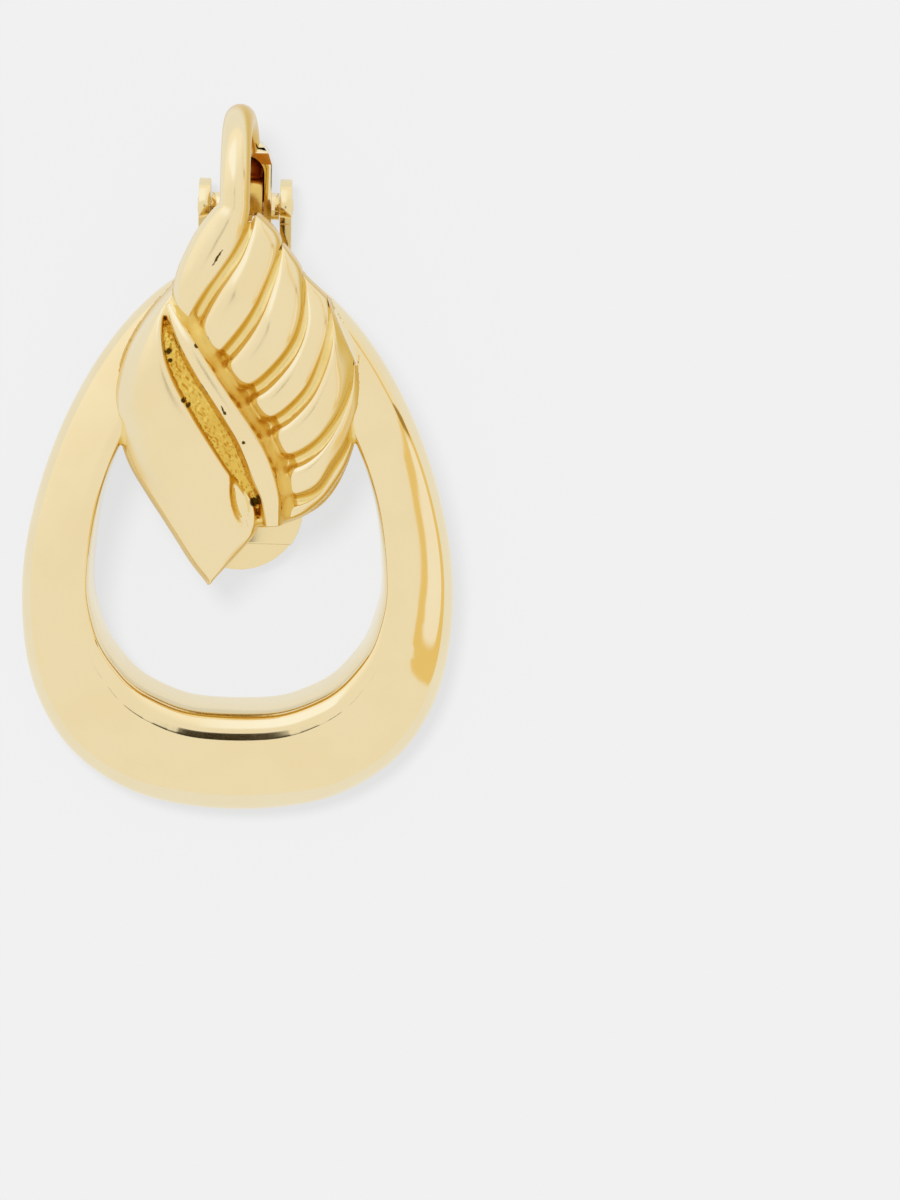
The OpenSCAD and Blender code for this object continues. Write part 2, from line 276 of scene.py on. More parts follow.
def plate_material(name, pale, deep, roughness, pits=(), scratches=(), walls=None, reach=(0.6, 0.35)):
    """Polished plate: cloudy in tone and gloss by a hair, with a buffed casting's faint ripple.
    Pits and scratches are dark casting flaws in the front, placed on the drawing. Walls turned away from the upper
    left light, past the reach thresholds, are painted the walls tone: painted shade and painted reflection of the
    gold beside them."""
    material = bpy.data.materials.new(name)
    plate = Shader(material)
    place = plate.node("ShaderNodeTexCoord", {}, output="Object")
    cloud = plate.node("ShaderNodeTexNoise", {}, Vector=place, Scale=220.0, Detail=3.0)
    tone = plate.node("ShaderNodeValToRGB", {"stops": [(0.3, deep), (0.6, pale)]}, cloud, output="Color")
    grain = plate.node("ShaderNodeTexNoise", {}, Vector=place, Scale=2600.0, Detail=2.0)
    gloss = grain * 0.03 + roughness
    if walls:
        # Plate turned away from the upper left light is painted the walls tone: painted shade and painted reflection.
        normal = plate.node("ShaderNodeNewGeometry", {}, output="Normal")
        facing_light = plate.node("ShaderNodeVectorMath", {"operation": "DOT_PRODUCT"}, normal, lit_way, output="Value")
        tone = plate.mix(facing_light.step(*reach), tone, walls)
    ripple = plate.node("ShaderNodeTexNoise", {}, Vector=place, Scale=420.0, Detail=1.0)
    if pits:
        from_middle = plate.node("ShaderNodeVectorMath", {"operation": "SUBTRACT"}, place, lay_flat.to_translation())
        drawn = [
            plate.node("ShaderNodeVectorMath", {"operation": "DOT_PRODUCT"}, from_middle, axis, output="Value") / MM
            for axis in (Vector((1, 0, 0)), up_way, out_way)
        ]
        ragged = plate.node("ShaderNodeTexNoise", {}, Vector=place, Scale=5200.0, Detail=2.0)
        x = ragged * flaw_wander + (drawn[0] - flaw_wander / 2)
        y = drawn[1] + (ragged - 0.5) * -flaw_wander
        flaw = 0.0
        for pit_x, pit_y, radius in pits:
            away_x, away_y = x - pit_x, y - pit_y
            away = away_x * away_x + away_y * away_y
            flaw = away.step(radius**2, 0.4 * radius**2) + flaw
        for start_x, start_y, end_x, end_y, width in scratches:
            length = math.hypot(end_x - start_x, end_y - start_y)
            way_x, way_y = (end_x - start_x) / length, (end_y - start_y) / length
            along = (x - start_x) * way_x + (y - start_y) * way_y
            across = abs((x - start_x) * way_y - (y - start_y) * way_x)
            tapered = across + abs(along / length - 0.5) * width
            flaw = tapered.step(width, 0.5 * width) * along.step(0, 0.1) * along.step(length, length - 0.1) + flaw
        flaw = flaw.sum_with("MINIMUM", flaw, 1.0) * drawn[2].step(flaw_floor, flaw_floor + 0.1)
        tone = plate.mix(flaw, tone, linear(92, 70, 22))
        gloss = gloss + flaw * 0.3
    bump = plate.node("ShaderNodeBump", {}, Strength=0.05, Distance=0.04 * MM, Height=ripple, output="Normal")
    plate.set("Principled BSDF", Base_Color=tone, Metallic=1.0, Roughness=gloss, Normal=bump)
    return material


# Columns: x, y, radius
casting_pits = [
    (-4.85, 17.35, 0.24),
    (-4.75, 16.75, 0.18),
    (-3.75, 14.1, 0.22),
    (-3.45, 13.75, 0.2),
    (1.12, 6.98, 0.36),
    (3.2, 6.62, 0.24),
    (-2.9, 17.9, 0.24),
    (2.7, 8.9, 0.16),
    (-0.94, 13.36, 0.14),
    (0.38, 11.32, 0.14),
]
# Columns: start x, start y, end x, end y, width
casting_scratches = [
    (-5.19, 19.66, -4.0, 17.28, 0.14),
    (-1.99, 23.29, -1.26, 24.47, 0.1),
    (2.2, 4.88, 3.15, 4.8, 0.16),
    (-1.2, 13.9, -0.95, 13.3, 0.1),
]
# The way the upper left light comes from: plate turned away from it is painted a deeper gold, as painted shade and
# painted reflection.
lit_way = Vector((-0.22, 0.14, 0.95)).normalized()
flaw_wander = 0.16
flaw_floor = 4.2
casting_gold = plate_material(
    "casting_gold", linear(247, 233, 196), linear(246, 230, 190), 0.045, casting_pits, casting_scratches
)


def finish_casting(piece, material=casting_gold):
    """The finish and the frame's words that every part of the casting shares."""
    piece.data.materials.append(material)
    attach(piece, "casting")
    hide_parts("earring_casting")


finish_casting(hoop)

# The plain half of the leaf: a smooth domed lobe of the same casting. It runs out of the hoop's
# upper left side, hangs free below and ends in a point; its free edges are softly rounded, and a
# shallow drop-shaped dent lies in its lower right corner.
leaf_back = 1.6
# Columns: left x, left y, right x, right y, left z, right z, bulge
leaf_rows = [
    (-4.4, 21.9, -4.6, 20.9, 4.7, 5.3, 0.2),
    (-6.2, 19.8, -5.2, 19.5, 4.5, 5.9, 0.4),
    (-7.6, 17.5, -5.05, 17.4, 4.4, 6.4, 0.7),
    (-8.4, 15.2, -4.4, 15.5, 4.3, 6.7, 0.9),
    (-8.65, 13.3, -3.0, 13.0, 4.2, 6.9, 1.0),
    (-8.35, 11.4, -1.75, 11.0, 4.1, 6.85, 1.0),
    (-7.6, 9.1, -0.65, 9.3, 4.0, 6.6, 1.0),
    (-6.4, 7.1, 0.5, 7.8, 4.1, 6.2, 0.9),
    (-5.2, 5.3, 1.25, 6.4, 4.15, 5.8, 0.8),
    (-4.15, 3.7, 1.4, 5.2, 4.2, 5.3, 0.7),
    (-3.25, 2.3, 0.95, 4.2, 4.1, 4.9, 0.6),
    (-2.1, 0.85, -1.7, 1.05, 3.9, 4.1, 0.1),
]
plain_edge = 0.55
plain_edge_drop = 1.15
groove_edge_drop = 0.55
dent_middle = Vector((0.2, 7.1))
dent_way = Vector((0.27, -1)).normalized()
dent_half_l = 2.3
dent_half_w = 0.75
dent_depth = 0.45


def placed_grid(name, columns, rows, place):
    """A grid, each of its points put where place(u, v) says, for u and v from 0 to 1."""
    bpy.ops.object.select_all(action="DESELECT")
    bpy.ops.mesh.primitive_grid_add(x_subdivisions=columns, y_subdivisions=rows, size=2)
    piece = bpy.context.active_object
    piece.name = name
    for vertex in piece.data.vertices:
        vertex.co = place((vertex.co.x + 1) / 2, (vertex.co.y + 1) / 2)
    return piece


def solid_down(piece, back):
    """Closes a shaped grid with walls and a flat back at the given height."""
    bpy.ops.object.mode_set(mode="EDIT")
    bpy.ops.mesh.select_all(action="SELECT")
    bpy.ops.mesh.extrude_region_move(TRANSFORM_OT_translate={"value": (0, 0, -1)})
    bpy.ops.transform.resize(value=(1, 1, 0), center_override=(0, 0, back))
    bpy.ops.mesh.select_all(action="SELECT")
    bpy.ops.mesh.normals_make_consistent(inside=False)
    bpy.ops.object.mode_set(mode="OBJECT")


def soft_step(value, start, end):
    share = min(max((value - start) / (end - start), 0), 1)
    return share * share * (3 - 2 * share)


def domed(row, u, edge, left_drop, right_drop):
    """A point across a domed strip whose two edges are rounded over and drop by that much."""
    left, right = Vector((row[0], row[1], 0)), Vector((row[2], row[3], 0))
    width = (right - left).length
    edge = min(edge, width / 2)
    rim = 0.14
    if u < rim:
        turn = u / rim * math.pi / 2
        across, sink = edge * (1 - math.cos(turn)), left_drop * (1 - math.sin(turn))
    elif u > 1 - rim:
        turn = (1 - u) / rim * math.pi / 2
        across, sink = width - edge * (1 - math.cos(turn)), right_drop * (1 - math.sin(turn))
    else:
        across, sink = edge + (width - 2 * edge) * (u - rim) / (1 - 2 * rim), 0
    share = across / width
    height = row[4] + (row[5] - row[4]) * share + row[6] * math.sin(math.pi * share)
    point = left + (right - left) * share
    return Vector((point.x, point.y, height - sink))


def plain_point(u, v):
    row = spline(leaf_rows, v * (len(leaf_rows) - 1))
    right_drop = plain_edge_drop + (groove_edge_drop - plain_edge_drop) * soft_step(row[3], 5.5, 7.5)
    point = domed(row, u, plain_edge, plain_edge_drop, right_drop)
    away = Vector((point.x, point.y)) - dent_middle
    along = away.dot(dent_way)
    across = away.dot(Vector((-dent_way.y, dent_way.x)))
    narrowed = dent_half_w * (1 + 0.25 * along / dent_half_l)
    reach = math.hypot(along / dent_half_l, across / narrowed)
    point.z -= dent_depth * (1 - soft_step(reach, 0.5, 1))
    return point


plain_half = placed_grid("leaf_plain_half", 90, 150, plain_point)
solid_down(plain_half, leaf_back)
plain_surface = surface_of(plain_half)
lay(plain_half)
# The leaf's plate: walls turned away from the light are painted a deeper gold, as painted shade and painted
# reflection.
leaf_gold = plate_material(
    "leaf_gold", linear(247, 233, 196), linear(246, 230, 190), 0.18, casting_pits, casting_scratches,
    walls=linear(224, 186, 88),
)
finish_casting(plain_half, leaf_gold)

# The bed of the ribbed half: the ground that the ribs stand on, seen as the narrow bright strips
# between them and as the smooth shoulder where they run out towards the hoop.
# Columns: y, left x, right x, left z, right z
bed_rows = [
    (26.2, -1.6, 1.2, 4.6, 4.3),
    (25.6, -2.2, 2.0, 4.8, 4.3),
    (24.4, -3.0, 2.6, 5.0, 4.2),
    (23.5, -3.6, 3.2, 5.0, 4.2),
    (21.9, -4.2, 4.6, 5.0, 4.1),
    (19.6, -5.0, 6.3, 5.1, 4.1),
    (17.3, -5.2, 7.4, 5.3, 4.2),
    (15.1, -4.6, 8.1, 5.5, 4.1),
    (13.2, -3.4, 8.3, 5.6, 4.0),
    (11.4, -2.2, 8.0, 5.6, 3.9),
    (9.6, -1.0, 7.5, 5.4, 3.8),
    (7.9, -0.6, 6.75, 5.1, 3.7),
    (6.6, -0.2, 5.75, 4.8, 3.7),
    (5.7, 0.3, 4.4, 4.6, 3.7),
    (5.1, 0.9, 2.9, 4.5, 3.7),
]
bed_bulge = 0.4
bed_edge = 0.3
bed_shoulder_x = 8.8
bed_shoulder_lean = -0.32


def bed_point(u, v):
    y, left, right, left_z, right_z = spline(bed_rows, v * (len(bed_rows) - 1))
    return domed((left, y, right, y, left_z, right_z, bed_bulge), u, bed_edge, bed_edge, bed_edge)


bed = placed_grid("leaf_rib_bed", 56, 110, bed_point)
solid_down(bed, leaf_back + 0.02)
bed_surface = surface_of(bed)
lay(bed)
finish_casting(bed, leaf_gold)
# Between the ribs the bed is painted a deep gold: painted shade and painted reflection in the recesses. Its shoulder
# by the hoop keeps the leaf's plate.
recess_shade_gold = plate_material("recess_shade_gold", linear(236, 204, 118), linear(224, 184, 90), 0.3)
bed.data.materials.append(recess_shade_gold)
for face in bed.data.polygons:
    middle = lay_flat.inverted() @ face.center
    if middle.x < bed_shoulder_x + bed_shoulder_lean * middle.y:
        face.material_index = 1

# The ribs: half-round fingers of the casting, side by side, blunt at the midrib. The upper two end
# in round shoulders, and the others sink into the leaf's far edge. Each lies between two seams;
# the last seam is the leaf's free edge.
# Columns: x, y, z
seams = [
    [(-3.1, 18.85, 5.6), (-2.55, 20.3, 5.7), (-1.85, 21.6, 5.8), (-1.05, 22.75, 5.8),
     (-0.25, 23.95, 5.6), (0.3, 25.35, 5.2), (0.6, 26.4, 4.7)],
    [(-1.5, 16.55, 5.7), (-0.6, 17.55, 5.8), (0.45, 18.95, 5.8), (1.25, 20.35, 5.8),
     (1.85, 21.8, 5.5), (2.35, 23.2, 5.1), (2.65, 24.45, 4.6)],
    [(0.25, 14.4, 5.7), (1.6, 15.2, 5.8), (3.0, 16.7, 5.7), (3.85, 18.1, 5.5),
     (4.25, 19.5, 5.2), (4.3, 20.85, 4.9), (4.15, 22.5, 4.5)],
    [(1.8, 12.2, 5.6), (3.25, 13.05, 5.7), (4.75, 14.65, 5.5), (5.65, 16.55, 5.1),
     (6.15, 18.4, 4.8), (6.15, 19.7, 4.6), (5.85, 20.9, 4.4)],
    [(3.05, 9.65, 5.3), (4.45, 10.2, 5.3), (5.6, 11.1, 5.2), (6.5, 12.3, 5.0),
     (7.15, 13.6, 4.8), (7.6, 15.1, 4.6), (7.75, 16.7, 4.4)],
    [(3.35, 6.95, 4.9), (4.5, 7.2, 4.9), (5.5, 7.75, 4.7), (6.3, 9.0, 4.6),
     (7.3, 10.6, 4.4), (8.0, 12.6, 4.3), (8.2, 14.3, 4.2)],
    [(3.0, 5.15, 4.2), (4.3, 5.6, 4.1), (5.5, 6.5, 4.0), (6.4, 7.6, 4.0),
     (7.35, 9.3, 4.0), (8.0, 11.4, 4.0), (8.3, 13.4, 4.0)],
]
seam_w = 0.62
seam_depth = 0.4
rib_round = 0.27
rib_square = 2.8
rib_blunt = 0.12
# Columns: length of the outer end's rounding as a part of the rib, its swell past the seams
rib_ends = [(0.14, 0.55), (0.2, 0.3), (0.45, 0.0), (0.5, 0.0), (0.5, 0.0), (0.5, 0.0)]


def rib_point(left_seam, right_seam, outer_end, u, v):
    """A point of the rib between two seams: u across it, v from the midrib outwards."""
    last = len(left_seam) - 1
    a, b = spline(left_seam, v * last), spline(right_seam, v * last)
    width = np.linalg.norm(b - a)
    inner = math.sqrt(1 - (1 - min((v + 0.004) / rib_blunt, 1)) ** 2)
    outer = math.sqrt(1 - min(max(v - 1 + outer_end[0], 0) / outer_end[0], 1) ** 2)
    keep = inner * (1 - seam_w * (1 - 0.9 * v) / width)
    turn = math.pi * u
    crown = math.sin(turn) ** (2 / rib_square)
    across = math.copysign(abs(math.cos(turn)) ** (2 / rib_square), u - 0.5) / 2 * keep
    arch = (rib_round * width * (1 - 0.7 * v * v) + seam_depth) * inner * outer
    point = (a + b) / 2 + (b - a) * across
    ahead = np.array(spline(left_seam, last)) + spline(right_seam, last)
    ahead -= np.array(spline(left_seam, last - 0.3)) + spline(right_seam, last - 0.3)
    ahead[2] = 0
    swell = outer_end[1] * soft_step(v, 0.7, 1) * math.sin(turn)
    point = point + ahead / np.linalg.norm(ahead) * swell
    return Vector((point[0], point[1], point[2] - seam_depth + arch * crown))


rib_surfaces = []
for k, outer_end in enumerate(rib_ends):
    rib = placed_grid(
        f"leaf_rib_{k + 2}", 40, 96,
        lambda u, v: rib_point(seams[k], seams[k + 1], outer_end, u, v),
    )
    solid_down(rib, 2.4)
    rib_surfaces.append(surface_of(rib))
    lay(rib)
    finish_casting(rib, leaf_gold)

# The midrib: a flat-topped band between the two halves, polished on top, with sloping sides that
# run down to the ribs' blunt ends and to the groove.
# Columns: x, y, top z, width
midrib_rows = [
    (-4.95, 20.5, 5.6, 0.4),
    (-4.3, 19.2, 6.3, 0.7),
    (-3.5, 17.8, 6.8, 0.95),
    (-2.4, 16.0, 7.1, 1.05),
    (-1.3, 14.4, 7.25, 1.05),
    (-0.35, 13.0, 7.3, 1.1),
    (0.5, 11.7, 7.2, 1.2),
    (1.2, 10.3, 7.0, 1.35),
    (1.7, 9.0, 6.7, 1.4),
    (2.2, 7.5, 6.3, 1.2),
    (2.35, 6.2, 5.9, 1.0),
    (2.4, 5.3, 5.6, 0.9),
]
# From the foot to the middle of the top. Columns: part of the half width, mm past that, height
midrib_side = [
    (1.0, 0.5, -1.6),
    (1.0, 0.42, -1.2),
    (1.0, 0.28, -0.75),
    (1.0, 0.1, -0.28),
    (1.0, -0.04, -0.07),
    (0.72, 0.0, -0.01),
    (0.36, 0.0, 0.02),
    (0.0, 0.0, 0.03),
]


def midrib_point(u, v):
    last = len(midrib_rows) - 1
    x, y, top, width = spline(midrib_rows, v * last)
    ahead, behind = (spline(midrib_rows, min(max(v + d, 0), 1) * last) for d in (0.01, -0.01))
    way = Vector((ahead[0] - behind[0], ahead[1] - behind[1], 0)).normalized()
    side = Vector((-way.y, way.x, 0)) * (1 if u < 0.5 else -1)
    part, past, height = spline(midrib_side, min(u, 1 - u) * 2 * (len(midrib_side) - 1))
    blunt = math.sqrt(1 - (1 - min((1.004 - v) / 0.02, 1)) ** 2)
    point = Vector((x, y, top + height - 0.3 * (1 - blunt)))
    return point + side * (width / 2 * part + past) * (0.6 + 0.4 * blunt)


midrib = placed_grid("leaf_midrib", 56, 200, midrib_point)
solid_down(midrib, 2.4)
midrib_surface = surface_of(midrib)
lay(midrib)
finish_casting(midrib, leaf_gold)

# The groove: the sunken strip between the plain half and the midrib, left as it came from the
# mould, so its floor is pitted and its plate looks a deep matt gold.
# Columns: left x, left y, right x, right y, z
groove_rows = [
    (-5.5, 19.6, -4.7, 19.8, 5.3),
    (-5.4, 18.7, -4.3, 19.0, 5.8),
    (-5.4, 18.0, -3.9, 18.4, 6.0),
    (-5.2, 17.2, -3.5, 17.7, 6.15),
    (-4.7, 15.5, -2.5, 15.9, 6.3),
    (-3.6, 13.5, -1.2, 14.0, 6.4),
    (-2.4, 11.6, 0.0, 12.1, 6.35),
    (-1.5, 10.1, 0.9, 10.5, 6.1),
    (-0.8, 8.7, 1.5, 9.1, 5.9),
    (0.0, 7.6, 1.9, 7.9, 5.7),
    (0.6, 6.6, 2.1, 6.8, 5.3),
    (0.9, 5.6, 2.1, 5.8, 4.8),
]
pitting = 0.14
pit_size = 0.24


def groove_point(u, v):
    left_x, left_y, right_x, right_y, z = spline(groove_rows, v * (len(groove_rows) - 1))
    point = Vector((left_x + (right_x - left_x) * u, left_y + (right_y - left_y) * u, z))
    point.z += pitting * noise.noise(point / pit_size) - 0.25 * math.sin(math.pi * u)
    return point


groove = placed_grid("leaf_groove", 44, 260, groove_point)
solid_down(groove, 2.45)
groove_surface = surface_of(groove)
lay(groove)
groove_gold = plate_material(
    "groove_gold", linear(238, 206, 106), linear(226, 186, 82), 0.32, casting_pits
)
finish_casting(groove, groove_gold)

# The ear bow: a round wire of the casting. It swells into the first rib in front, arches over the
# lobe and comes down behind, where it grows square and becomes the spring housing.
wire_d = 2.05
bow_r = 5
bow_y = 27.6
front_x = -0.55
rear_x = -0.05
bow_turns = [math.radians(a) for a in range(150, -1, -10)]
# Columns: x, y, middle z, width, thickness
first_rib_rows = [
    (-0.6, 27.1, 5.0, 2.2, 2.15),
    (-0.85, 26.45, 5.0, 2.65, 2.4),
    (-1.25, 25.6, 5.0, 3.05, 2.6),
    (-1.85, 24.5, 5.0, 3.25, 2.85),
    (-2.5, 23.3, 5.0, 3.15, 3.0),
    (-3.1, 22.2, 5.0, 2.85, 3.0),
    (-3.55, 21.0, 4.9, 2.3, 2.85),
    (-3.75, 19.9, 4.7, 1.5, 2.5),
    (-3.75, 19.0, 4.5, 0.8, 2.0),
]
bow_rows = [
    (
        front_x + (rear_x - front_x) * ((1 - math.cos(a)) / 2) ** 2,
        bow_y + bow_r * math.sin(a), bow_r * math.cos(a), wire_d, wire_d,
    )
    for a in bow_turns
] + first_rib_rows


def wire_point(u, v):
    """A point round the bow: u round the wire, v from its rear end to the first rib's tip."""
    last = len(bow_rows) - 1
    row = spline(bow_rows, v * last)
    ahead, behind = (spline(bow_rows, min(max(v + d, 0), 1) * last) for d in (0.004, -0.004))
    way = Vector(ahead[:3] - behind[:3]).normalized()
    out = Vector((0, row[1] - bow_y, row[2])) if row[1] > bow_y else Vector((0, 0, row[2]))
    across = way.cross(out).normalized()
    out = across.cross(way)
    turn = 2 * math.pi * u
    return Vector(row[:3]) + across * row[3] / 2 * math.cos(turn) + out * row[4] / 2 * math.sin(turn)


bow = placed_grid("ear_bow", 48, 200, wire_point)
bpy.ops.object.mode_set(mode="EDIT")
bpy.ops.mesh.select_all(action="SELECT")
bpy.ops.mesh.remove_doubles(threshold=0.001)
bpy.ops.mesh.select_all(action="DESELECT")
bpy.ops.mesh.select_non_manifold()
bpy.ops.mesh.edge_face_add()
bpy.ops.mesh.select_all(action="SELECT")
bpy.ops.mesh.normals_make_consistent(inside=False)
bpy.ops.object.mode_set(mode="OBJECT")
bow_surface = surface_of(bow)
lay(bow)
finish_casting(bow, leaf_gold)

# The fillets: the smooth hollows of the casting. Small ones soften every crease of the leaf, and
# wider ones hide where the ribs' bed runs out of the hoop and fill the channel by the midrib.
fillet_sink = 0.012
evenings = 4
fillet_back = 1.7


def fillet(name, surfaces, low, high, ball, share, material=casting_gold, step=0.09, bare=None):
    """Rolls a ball over the surfaces and keeps what it bridges, as a skin a hair under them. Where
    the bare surface lies on top, nothing is bridged."""
    across = np.arange(low[0], high[0], step)
    along = np.arange(low[1], high[1], step)
    ground = np.full((len(along), len(across)), -np.inf)
    open_floor = np.zeros(ground.shape, bool)
    for j, y in enumerate(along):
        for i, x in enumerate(across):
            for surface in surfaces:
                hit = surface.ray_cast(Vector((x, y, 20)), Vector((0, 0, -1)))[0]
                if hit and hit.z > ground[j, i]:
                    ground[j, i] = hit.z
                    open_floor[j, i] = surface is bare
    reach = int(ball / step)
    cells = [(dj, di) for dj in range(-reach, reach + 1) for di in range(-reach, reach + 1)]
    caps = [
        (dj, di, math.sqrt(ball**2 - (dj**2 + di**2) * step**2) - ball)
        for dj, di in cells
        if math.hypot(dj, di) * step < ball
    ]
    rows, columns = ground.shape
    padded = np.pad(ground, reach, constant_values=-np.inf)
    rolled = np.full_like(ground, -np.inf)
    for dj, di, cap in caps:
        part = padded[reach + dj : reach + dj + rows, reach + di : reach + di + columns]
        rolled = np.maximum(rolled, part + cap)
    padded = np.pad(rolled, reach, constant_values=np.inf)
    closed = np.full_like(ground, np.inf)
    for dj, di, cap in caps:
        part = padded[reach + dj : reach + dj + rows, reach + di : reach + di + columns]
        closed = np.minimum(closed, part - cap)
    solid = np.isfinite(ground)
    ground = np.where(solid, ground, 0)
    shares = np.array([[share(x, y) for x in across] for y in along])
    gain = np.where(solid & ~open_floor, (closed - ground) * shares, 0)
    skin = ground + gain
    for _ in range(evenings):
        padded = np.pad(skin, 1, mode="edge")
        near = sum(padded[j : j + rows, i : i + columns] for j in range(3) for i in range(3)) / 9
        skin = np.where(gain > fillet_sink, np.maximum(near, ground), skin)
    piece = placed_grid(
        name, columns - 1, rows - 1,
        lambda u, v: (across[round(u * (columns - 1))], along[round(v * (rows - 1))], 0),
    )
    wanted = []
    for vertex in piece.data.vertices:
        i = round((vertex.co.x - low[0]) / step)
        j = round((vertex.co.y - low[1]) / step)
        vertex.co.z = skin[j, i] - fillet_sink
        near = np.s_[max(j - 1, 0) : j + 2, max(i - 1, 0) : i + 2]
        wanted.append(bool(solid[j, i] and gain[near].max() > fillet_sink))
    bpy.ops.object.mode_set(mode="EDIT")
    bpy.ops.mesh.select_mode(type="FACE")
    bpy.ops.mesh.select_all(action="DESELECT")
    bpy.ops.object.mode_set(mode="OBJECT")
    for face in piece.data.polygons:
        face.select = not all(wanted[k] for k in face.vertices)
    bpy.ops.object.mode_set(mode="EDIT")
    bpy.ops.mesh.delete(type="FACE")
    bpy.ops.object.mode_set(mode="OBJECT")
    solid_down(piece, fillet_back)
    surface = surface_of(piece)
    lay(piece, 60)
    finish_casting(piece, material)
    return surface


right_surface = fillet(
    "right_fillet", [hoop_surface, bed_surface], (3.0, 15.5), (8.8, 23.6), 1.4,
    lambda x, y: soft_step(y, 16.0, 18.0) * (1 - soft_step(x, 7.9, 8.7)),
)
# The fillets in the creases are painted a deeper gold than the casting, most on walls turned away from the light:
# painted shade and painted reflection in the creases.
crease_shade_gold = plate_material(
    "crease_shade_gold", linear(245, 226, 170), linear(240, 214, 140), 0.22,
    walls=linear(226, 188, 92), reach=(0.86, 0.6),
)
fillet(
    "crease_fillet",
    [plain_surface, bed_surface, *rib_surfaces, midrib_surface, groove_surface, bow_surface, hoop_surface,
     right_surface],
    (-9.0, 0.6), (8.8, 26.6), 0.42,
    lambda x, y: (1 - soft_step(y, 25.2, 26.4)) * (1 - soft_step(abs(x + 0.1), 7.9, 8.3)),
    crease_shade_gold, step=0.06, bare=groove_surface,
)
channel_reach = 1.1


def channel_share(x, y):
    """Full in the channel between the midrib and the ribs' blunt ends, nothing along the ribs."""
    middle = np.interp(y, [row[1] for row in midrib_rows[::-1]], [row[0] for row in midrib_rows[::-1]])
    away = 0.8 * (x - middle)
    return soft_step(away, 0.1, 0.4) * (1 - soft_step(away, channel_reach, channel_reach + 0.5))


# The channel fillet is painted the same deep gold: painted shade and painted reflection in the channel.
fillet(
    "channel_fillet", [bed_surface, *rib_surfaces, midrib_surface, bow_surface],
    (-5.0, 5.0), (5.0, 20.5), 0.75, channel_share, recess_shade_gold, step=0.06,
)

# The spring housing: the rear end of the bow, cast square, with a round-topped channel that is
# open at the front and below, and bosses for the hinge pin at its sides.
housing_left = -1.55
housing_right = 1.75
channel_left = -1.28
channel_right = 1.25
housing_d = 3.2
housing_low = 24.6
housing_square = 29.1
housing_wall = 0.5
arch_top = 29.65
boss_r = 0.95
boss_l = 2.32
housing_top = 30.6
bow_end_z = bow_r * math.cos(bow_turns[0])
pin_y, pin_z = pin_drawn.y, pin_drawn.z


def box_between(name, low, high):
    """A cube stretched between two corners."""
    bpy.ops.object.select_all(action="DESELECT")
    bpy.ops.mesh.primitive_cube_add(size=1)
    piece = bpy.context.active_object
    piece.name = name
    low, high = Vector(low), Vector(high)
    bpy.ops.object.mode_set(mode="EDIT")
    bpy.ops.transform.resize(value=high - low)
    bpy.ops.transform.translate(value=(low + high) / 2)
    bpy.ops.object.mode_set(mode="OBJECT")
    return piece


def rod_across(name, radius, middle, half_l, sides=48):
    """A cylinder that lies across the drawing."""
    bpy.ops.object.select_all(action="DESELECT")
    bpy.ops.mesh.primitive_cylinder_add(vertices=sides, radius=radius, depth=2 * half_l)
    piece = bpy.context.active_object
    piece.name = name
    piece.data.transform(Matrix.Translation(middle) @ Matrix.Rotation(math.pi / 2, 4, "Y"))
    return piece


def apply_modifier(piece, kind, **settings):
    """Adds a modifier and applies it at once."""
    bpy.ops.object.select_all(action="DESELECT")
    piece.select_set(True)
    bpy.context.view_layer.objects.active = piece
    made = piece.modifiers.new(kind.lower(), kind)
    for key, value in settings.items():
        setattr(made, key, value)
    bpy.ops.object.modifier_apply(modifier=made.name)


def combine(piece, other, operation):
    apply_modifier(piece, "BOOLEAN", object=other, operation=operation, solver="EXACT")
    bpy.data.objects.remove(other)


housing = box_between(
    "spring_housing",
    (housing_left, housing_low, pin_z - housing_d / 2),
    (housing_right, housing_square, pin_z + housing_d / 2),
)
for face in housing.data.polygons:
    face.select = face.normal.y > 0.9
bpy.ops.object.mode_set(mode="EDIT")
bpy.ops.mesh.select_mode(type="FACE")
bpy.ops.mesh.extrude_region_move(TRANSFORM_OT_translate={"value": (0, (housing_top - housing_square) / 2, 0)})
bpy.ops.transform.resize(value=(0.86, 1, 0.86), center_override=(rear_x, 0, pin_z + 0.2))
bpy.ops.mesh.extrude_region_move(TRANSFORM_OT_translate={"value": (0, (housing_top - housing_square) / 2, 0.2)})
bpy.ops.transform.resize(value=(0.62, 1, 0.62), center_override=(rear_x, 0, bow_end_z))
bpy.ops.object.mode_set(mode="OBJECT")
apply_modifier(housing, "BEVEL", width=0.42, segments=5, limit_method="ANGLE")
combine(housing, rod_across("boss", boss_r, Vector((rear_x, pin_y, pin_z)), boss_l), "UNION")
channel = box_between(
    "channel",
    (channel_left, housing_low - 1, pin_z - housing_d / 2 + housing_wall),
    (channel_right, arch_top, pin_z + housing_d),
)
for edge in channel.data.edges:
    ends = [channel.data.vertices[k].co for k in edge.vertices]
    edge.select = all(end.y > arch_top - 0.01 for end in ends) and abs(ends[0].z - ends[1].z) > 1
bpy.ops.object.mode_set(mode="EDIT")
bpy.ops.mesh.select_mode(type="EDGE")
bpy.ops.mesh.bevel(offset=(channel_right - channel_left) / 2 - 0.01, segments=10, affect="EDGES")
bpy.ops.object.mode_set(mode="OBJECT")
combine(housing, channel, "DIFFERENCE")
apply_modifier(housing, "BEVEL", width=0.07, segments=2, limit_method="ANGLE", angle_limit=math.radians(50))
lay(housing, 40)
finish_casting(housing)
# The faces inside the channel are painted a dark brown gold: painted shade and painted reflection inside the cavity.
housing.data.materials.append(
    plate_material("channel_painted_shade", linear(196, 128, 40), linear(170, 100, 22), 0.3)
)
into_drawing = lay_flat.inverted()
for face in housing.data.polygons:
    middle = into_drawing @ face.center
    in_channel = channel_left - 0.02 < middle.x < channel_right + 0.02 and middle.y < arch_top + 0.02
    if in_channel and middle.z > pin_z - housing_d / 2 + housing_wall - 0.02:
        face.material_index = 1


